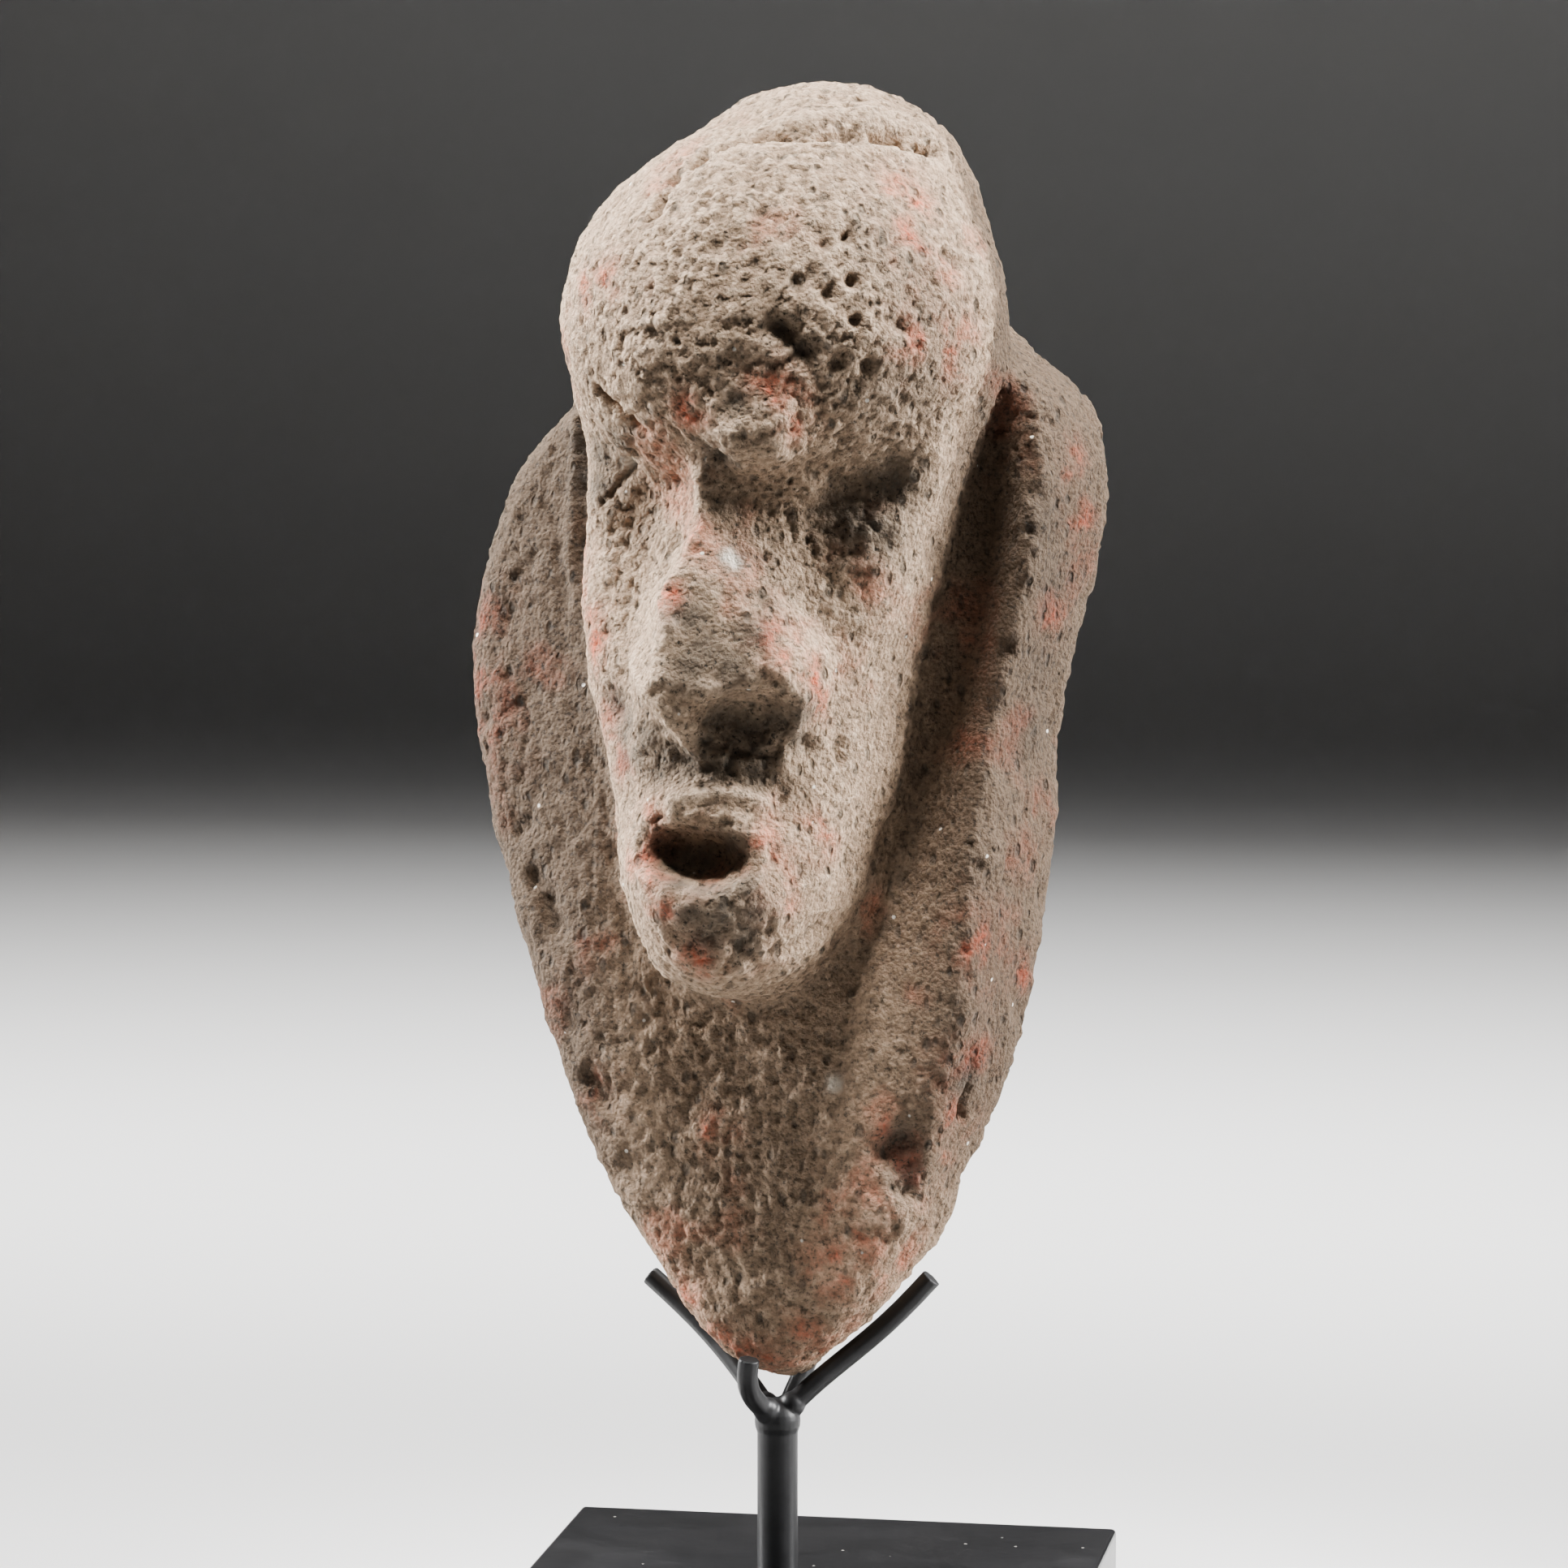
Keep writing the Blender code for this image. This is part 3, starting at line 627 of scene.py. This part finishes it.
def pinholes(tree, place):
    """Holes of many sizes, a little longer upwards: 1 in each, and 0 between them."""
    upright = add_node(tree, "ShaderNodeVectorMath", {0: place, 1: (1, 1, 0.6)}, operation="MULTIPLY")
    spots = cells(tree, upright.outputs[0], PINHOLE_SPACING)
    radius = ramped(tree, cell_chance(tree, spots), 0.35, 1.0, 0.0, 0.5)
    return ramped(tree, maths(tree, "SUBTRACT", radius, spots.outputs["Distance"]), 0.0, 0.22)


def bright_flecks(tree, place):
    """Grains of bright mineral in a few of the cells: 1 in each, and 0 between them."""
    spots = cells(tree, place, FLECK_SPACING)
    chosen = maths(tree, "GREATER_THAN", cell_chance(tree, spots, "Green"), 0.965)
    return times(tree, chosen, ramped(tree, spots.outputs["Distance"], 0.10, 0.16, 1.0, 0.0))


def stone_colour(tree, place, grit, holes, flecks, settings):
    """Mottled stone with painted shade in hollows, pinholes, on the slab and at listed spots, with ochre and
    fresh chips.
    """
    clouds = noise_value(tree, place, CLOUDS, 4.0, 0.6)
    blotches = noise_value(tree, place, BLOTCHES, 5.0, 0.7)
    hollow, unrubbed, grime = stored(tree, "hollow"), stored(tree, "unrubbed"), stored(tree, "grime")

    tone = maths(tree, "ADD", times(tree, clouds, 0.5), times(tree, blotches, 0.7))
    # painted shade on the slab, darkest at its wings; it also darkens the brown and the grains below
    tone = maths(tree, "SUBTRACT", tone, times(tree, unrubbed, 0.3))
    colour = mixed(tree, ramped(tree, tone, 0.42, 0.80), settings.brown, settings.cream)
    # painted shade in hollows and pits
    deep = times(tree, ramped(tree, hollow, 0.50, 0.92), ramped(tree, blotches, 0.3, 0.6, 0.6, 1.0))
    colour = mixed(tree, times(tree, deep, 0.5), colour, settings.shade_and_speck_colour)
    raised = times(tree, ramped(tree, hollow, 0.42, 0.15), ramped(tree, unrubbed, 0.0, 1.0, 1.0, 0.3))
    colour = mixed(tree, times(tree, raised, 0.55), colour, settings.edge_colour)
    # painted shade on the slab
    colour = mixed(tree, times(tree, unrubbed, 0.5), colour, settings.brown)

    stain = times(tree, stored(tree, "ochre"), ramped(tree, blotches, 0.38, 0.62, 0.4, 1.4))
    stain = times(tree, stain, ramped(tree, grit, 0.35, 0.58, 0.4, 1.0))
    colour = mixed(tree, stain, colour, settings.ochre)
    # painted shade at the listed spots
    spot_shading = times(tree, grime, ramped(tree, grit, 0.40, 0.60, 0.50, 0.92))
    colour = mixed(tree, spot_shading, colour, settings.shade_and_speck_colour)
    # painted shade in the pinholes
    colour = mixed(tree, times(tree, holes, 0.6), colour, settings.shade_and_speck_colour)
    # dark specks of grain, more of them in the painted shade at the listed spots
    specks = times(tree, ramped(tree, grit, 0.45, 0.34, 0.0, 0.75), ramped(tree, grime, 0.0, 0.6, 0.9, 1.4))
    colour = mixed(tree, specks, colour, settings.shade_and_speck_colour)

    grains = ramped(tree, grit, 0.30, 0.72, 0.62, 1.50)
    # the grains are less bright on the slab, for its painted shade
    grains = times(tree, grains, ramped(tree, unrubbed, 0.35, 1.0, 1.0, 0.42))
    shade = add_node(tree, "ShaderNodeCombineColor", {0: grains, 1: grains, 2: grains}).outputs[0]
    colour = mixed(tree, 1.0, colour, shade, "MULTIPLY")
    colour = mixed(tree, stored(tree, "fresh"), colour, settings.fresh_colour)
    return mixed(tree, flecks, colour, settings.fleck_colour)


def sandstone(settings):
    """Gritty stone with pinholes, grains and bright flecks."""
    material, tree, shader, place = new_material("Weathered sandstone")
    grit = noise_value(tree, place, GRIT, 4.0, 0.75)
    sand = cells(tree, place, SAND).outputs["Distance"]
    holes = pinholes(tree, place)
    flecks = bright_flecks(tree, place)
    colour = stone_colour(tree, place, grit, holes, flecks, settings)
    tree.links.new(colour, shader.inputs["Base Color"])
    rough = ramped(tree, flecks, 0.0, 1.0, settings.roughness, 0.35)
    tree.links.new(rough, shader.inputs["Roughness"])
    shader.inputs["Specular IOR Level"].default_value = 0.25
    height = maths(tree, "SUBTRACT", times(tree, grit, 1.1), times(tree, sand, 0.55))
    height = maths(tree, "SUBTRACT", height, times(tree, holes, 0.9))
    tree.links.new(bump(tree, height, settings.grit_depth), shader.inputs["Normal"])
    return material


def painted(name, colour, roughness, ripple_depth, speck_share, film):
    """Black paint over a smooth base, with its ripple, rubbed patches and settled dust."""
    material, tree, shader, place = new_material(name)
    skin = add_node(tree, "ShaderNodeGroup", node_tree=paint_group())
    dust = add_node(tree, "ShaderNodeGroup", node_tree=dust_group())
    for group in (skin, dust):
        tree.links.new(place, group.inputs["Place"])
    dust.inputs["Speck share"].default_value = speck_share
    dust.inputs["Film"].default_value = film
    rub, specks = skin.outputs["Rub"], dust.outputs["Specks"]
    black = mixed(tree, rub, colour, [channel * 2.2 for channel in colour])
    dusty = mixed(tree, dust.outputs["Film"], black, DUST_COLOUR)
    dusty = mixed(tree, times(tree, specks, 0.8), dusty, SPECK_COLOUR)
    tree.links.new(dusty, shader.inputs["Base Color"])
    gloss = ramped(tree, rub, 0.0, 1.0, roughness, roughness * 1.4)
    matt = maths(tree, "ADD", gloss, times(tree, specks, 0.4), True)
    tree.links.new(matt, shader.inputs["Roughness"])
    shader.inputs["Specular IOR Level"].default_value = 0.3
    tree.links.new(bump(tree, skin.outputs["Height"], ripple_depth, 0.6), shader.inputs["Normal"])
    return material


def floor_paper(colour):
    """Pale paper of a studio sweep, with the faintest mottle."""
    material, tree, shader, place = new_material("Sweep paper")
    mottle = noise_value(tree, place, PAPER_MOTTLE, 4.0, 0.6)
    shaded = [channel * 0.94 for channel in colour]
    tree.links.new(mixed(tree, mottle, colour, shaded), shader.inputs["Base Color"])
    shader.inputs["Roughness"].default_value = 0.85
    fibre = noise_value(tree, place, PAPER_FIBRE, 3.0, 0.7)
    tree.links.new(bump(tree, fibre, PAPER_FIBRE_DEPTH, 0.5), shader.inputs["Normal"])
    return material


# Settings


def length_setting(name, description, default, low, high):
    return FloatProperty(
        name=name, description=description, default=default, min=low, max=high, unit="LENGTH", precision=5
    )


def colour_setting(name, description, default):
    return FloatVectorProperty(
        name=name, description=description, default=default, size=3, min=0, max=1, subtype="COLOR"
    )


def share_setting(name, description, default):
    return FloatProperty(
        name=name, description=description, default=default, min=0, max=1, subtype="FACTOR"
    )


def power_setting(name, description, default):
    return FloatProperty(name=name, description=description, default=default, min=0, unit="POWER")


class StoneSettings(bpy.types.PropertyGroup):
    """Relief and colours of the carved stone"""

    spacing: length_setting("Mesh spacing", "Width of the stone's mesh faces", 0.00076, 0.0007, 0.004)
    triangles: IntProperty(
        name="Triangles", description="The stone's faces at the end", default=190000, min=10000, max=199000
    )
    smoothing: IntProperty(
        name="Smoothing", description="Rounds that smooth the solid's facets", default=13, min=0, max=60
    )
    fine_pit_depth: length_setting("Fine pits", "Depth of the pits all over", 0.00050, 0, 0.003)
    coarse_pit_depth: length_setting("Coarse pits", "Depth of the larger, rarer pits", 0.0010, 0, 0.004)
    brow_pit_depth: length_setting("Brow pits", "Depth of the pits of the brow alone", 0.0006, 0, 0.005)
    lump_height: length_setting("Lumps", "Height of the broad unevenness", 0.0008, 0, 0.004)
    grain_height: length_setting("Grain", "Height of the coarse grain", 0.00042, 0, 0.002)
    edge_chip_depth: length_setting("Edge chips", "How deep the edges are chipped", 0.0016, 0, 0.006)
    grit_depth: length_setting("Grit", "Depth of the grit in the material", 0.0009, 0, 0.002)
    roughness: share_setting("Roughness", "Roughness of the stone", 0.93)
    cream: colour_setting("Cream", "Light parts of the stone", (0.475, 0.328, 0.215))
    brown: colour_setting("Brown", "Dark parts of the stone", (0.24, 0.160, 0.102))
    # painted shade in pits, hollows, pinholes and listed spots, and the colour of dark specks of grain
    shade_and_speck_colour: colour_setting("Hollows", "Painted shade in pits and hollows, and dark specks", (0.065, 0.055, 0.042))
    edge_colour: colour_setting("Edges", "Rubbed high places", (0.555, 0.405, 0.28))
    ochre: colour_setting("Ochre", "Traces of red", (0.47, 0.112, 0.056))
    fresh_colour: colour_setting("Fresh chips", "Newly broken stone", (0.78, 0.70, 0.58))
    fleck_colour: colour_setting("Flecks", "Grains of bright mineral", (0.85, 0.78, 0.68))


class StandSettings(bpy.types.PropertyGroup):
    """Paint and weld of the cradle, and the block's lacquer"""

    spacing: length_setting("Mesh spacing", "Width of the cradle's mesh faces", 0.00036, 0.0003, 0.002)
    bead: length_setting("Weld bead", "Radius of the bead where each rod is welded on", 0.0031, 0.0026, 0.006)
    bead_reach: length_setting("Bead reach", "Distance of each bead from the weld's middle", 0.0052, 0, 0.02)
    paint: colour_setting("Paint", "Colour of the painted rods", (0.012, 0.012, 0.0125))
    paint_roughness: share_setting("Paint roughness", "Roughness of the painted rods", 0.36)
    lacquer: colour_setting("Lacquer", "Colour of the block", (0.007, 0.007, 0.0075))
    lacquer_roughness: share_setting("Lacquer roughness", "Roughness of the block", 0.15)


class StageSettings(bpy.types.PropertyGroup):
    """Floor, camera and lights"""

    floor_size: length_setting("Floor size", "Width and depth of the sweep", 5.0, 1.0, 20.0)
    floor_colour: colour_setting("Floor colour", "Colour of the sweep", (0.80, 0.79, 0.78))
    left_power: power_setting("Left light", "Power of the light on the left", 3.4)
    right_power: power_setting("Right light", "Power of the light on the right", 2.95)
    top_power: power_setting("Top light", "Power of the light on the brow", 0.48)
    front_power: power_setting("Front light", "Power of the weak light from the front", 0.06)
    floor_power: power_setting("Floor light", "Power of the light over the floor behind", 22)
    world: share_setting("Surroundings", "Brightness of the even light all round", 0.01)


# Pieces


class STONEHEAD_OT_carve_stone(bpy.types.Operator):
    """Replaces the stone's solid by a fine mesh with its pits, marks and chipped edges"""

    bl_idname = "stonehead.carve_stone"
    bl_label = "Carve the stone"

    def execute(self, context):
        settings = context.scene.stonehead_stone
        piece = remeshed(
            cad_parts["stone_head"].data.copy(), "carved_stone", settings.spacing, settings.smoothing
        )
        weather(piece, settings)
        thin_out(piece, settings.triangles)
        piece.data.materials.clear()
        piece.data.materials.append(sandstone(settings))
        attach(piece, "root")
        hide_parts("stone_head")
        return {"FINISHED"}


class STONEHEAD_OT_weld_cradle(bpy.types.Operator):
    """Makes the post and its rods one welded cradle, with a bead at each rod's root"""

    bl_idname = "stonehead.weld_cradle"
    bl_label = "Weld the cradle"

    rods = ("left_arm", "right_arm", "front_prong", "back_arm")

    def execute(self, context):
        settings = context.scene.stonehead_stand
        middle = self.weld_middle()
        shape = bmesh.new()
        for node in ("post", *self.rods):
            shape.from_mesh(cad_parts[node].data)
        for node in self.rods:
            place = middle + self.root_direction(node, middle) * settings.bead_reach
            bmesh.ops.create_icosphere(
                shape,
                subdivisions=BEAD_SUBDIVISIONS,
                radius=settings.bead,
                matrix=Matrix.Translation(place),
            )
        mesh = bpy.data.meshes.new("cradle")
        shape.to_mesh(mesh)
        shape.free()
        piece = remeshed(mesh, "cradle", settings.spacing, CRADLE_SMOOTHING)
        paint = painted(
            "Black painted steel",
            settings.paint,
            settings.paint_roughness,
            PAINT_RIPPLE_DEPTH,
            speck_share=0.04,
            film=0.05,
        )
        piece.data.materials.clear()
        piece.data.materials.append(paint)
        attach(piece, "root")
        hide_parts("post", *self.rods)
        return {"FINISHED"}

    def weld_middle(self):
        """Middle of the post's domed top."""
        dome = POST_HIGH.x - (POST_LOW.x + POST_HIGH.x) / 2
        return Vector((STONE_POINT.x, STONE_POINT.y, POST_HIGH.z - dome))

    def root_direction(self, node, middle):
        """The way a rod leaves the weld."""
        places = points_of(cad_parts[node].data)
        away = np.linalg.norm(places - np.array(middle), axis=1)
        root = places[away < away.min() + ROD_ROOT_LENGTH].mean(0)
        return (Vector(root) - middle).normalized()


class STONEHEAD_OT_lacquer_block(bpy.types.Operator):
    """Gives the block its black lacquer and the dust that lies on it"""

    bl_idname = "stonehead.lacquer_block"
    bl_label = "Lacquer the block"

    def execute(self, context):
        settings = context.scene.stonehead_stand
        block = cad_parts["base_block"]
        lacquer = painted(
            "Black lacquer",
            settings.lacquer,
            settings.lacquer_roughness,
            LACQUER_RIPPLE_DEPTH,
            speck_share=0.10,
            film=0.02,
        )
        block.data.materials.clear()
        block.data.materials.append(lacquer)
        return {"FINISHED"}


class STONEHEAD_OT_set_stage(bpy.types.Operator):
    """Lays the pale sweep and sets the camera and the lights"""

    bl_idname = "stonehead.set_stage"
    bl_label = "Set the stage"

    def execute(self, context):
        settings = context.scene.stonehead_stage
        self.lay_sweep(settings)
        self.set_camera(context.scene)
        for name, (place, target, size, power, spread) in LIGHTS.items():
            self.add_light(name, place, target, size, getattr(settings, power), spread)
        world = bpy.data.worlds.new("Studio")
        world.use_nodes = True
        back = world.node_tree.nodes["Background"]
        back.inputs["Color"].default_value = (1, 1, 1, 1)
        back.inputs["Strength"].default_value = settings.world
        context.scene.world = world
        return {"FINISHED"}

    def lay_sweep(self, settings):
        """Floor and backdrop in one sheet, with a wide bend between them."""
        half, bend = settings.floor_size / 2, settings.floor_size / 6
        turns = np.linspace(0, np.pi / 2, BEND_STEPS)
        profile = [(-half, 0.0)]
        profile += [(half - bend + bend * np.sin(turn), bend - bend * np.cos(turn)) for turn in turns]
        profile += [(half, half)]
        mesh = bpy.data.meshes.new("sweep")
        places = [(side * half, y, z) for y, z in profile for side in (-1, 1)]
        faces = [(2 * i, 2 * i + 1, 2 * i + 3, 2 * i + 2) for i in range(len(profile) - 1)]
        mesh.from_pydata(places, [], faces)
        mesh.shade_smooth()
        mesh.materials.append(floor_paper(settings.floor_colour))
        link_piece(mesh, "sweep")

    def set_camera(self, scene):
        data = bpy.data.cameras.new("camera")
        data.lens, data.sensor_width = LENS, SENSOR
        camera = bpy.data.objects.new("camera", data)
        scene.collection.objects.link(camera)
        camera.rotation_mode = "QUATERNION"
        camera.rotation_quaternion = camera_turn()
        camera.location = CAMERA_PLACE
        scene.camera = camera

    def add_light(self, name, place, target, size, power, spread):
        data = bpy.data.lights.new(name, "AREA")
        data.shape = "RECTANGLE"
        data.size, data.size_y = size
        data.energy = power
        data.spread = radians(spread)
        light = bpy.data.objects.new(name, data)
        bpy.context.scene.collection.objects.link(light)
        light.location = place
        light.rotation_mode = "QUATERNION"
        light.rotation_quaternion = (target - Vector(place)).to_track_quat("-Z", "Y")


class STONEHEAD_PT_panel(bpy.types.Panel):
    """The steps that dress the sandstone head"""

    bl_label = "Sandstone head"
    bl_idname = "STONEHEAD_PT_panel"
    bl_space_type = "VIEW_3D"
    bl_region_type = "UI"
    bl_category = "Sandstone head"

    def draw(self, context):
        for operator in OPERATORS:
            self.layout.operator(operator.bl_idname)
        for settings in (
            context.scene.stonehead_stone, context.scene.stonehead_stand, context.scene.stonehead_stage
        ):
            box = self.layout.box()
            for name in settings.bl_rna.properties.keys():
                if name not in ("rna_type", "name"):
                    box.prop(settings, name)


OPERATORS = (
    STONEHEAD_OT_carve_stone,
    STONEHEAD_OT_weld_cradle,
    STONEHEAD_OT_lacquer_block,
    STONEHEAD_OT_set_stage,
)
CLASSES = (StoneSettings, StandSettings, StageSettings, *OPERATORS, STONEHEAD_PT_panel)


def register():
    for kind in CLASSES:
        bpy.utils.register_class(kind)
    bpy.types.Scene.stonehead_stone = PointerProperty(type=StoneSettings)
    bpy.types.Scene.stonehead_stand = PointerProperty(type=StandSettings)
    bpy.types.Scene.stonehead_stage = PointerProperty(type=StageSettings)


def unregister():
    del bpy.types.Scene.stonehead_stage
    del bpy.types.Scene.stonehead_stand
    del bpy.types.Scene.stonehead_stone
    for kind in reversed(CLASSES):
        bpy.utils.unregister_class(kind)


def main():
    register()
    bpy.ops.stonehead.carve_stone()
    bpy.ops.stonehead.weld_cradle()
    bpy.ops.stonehead.lacquer_block()
    bpy.ops.stonehead.set_stage()


if __name__ == "__main__":
    main()
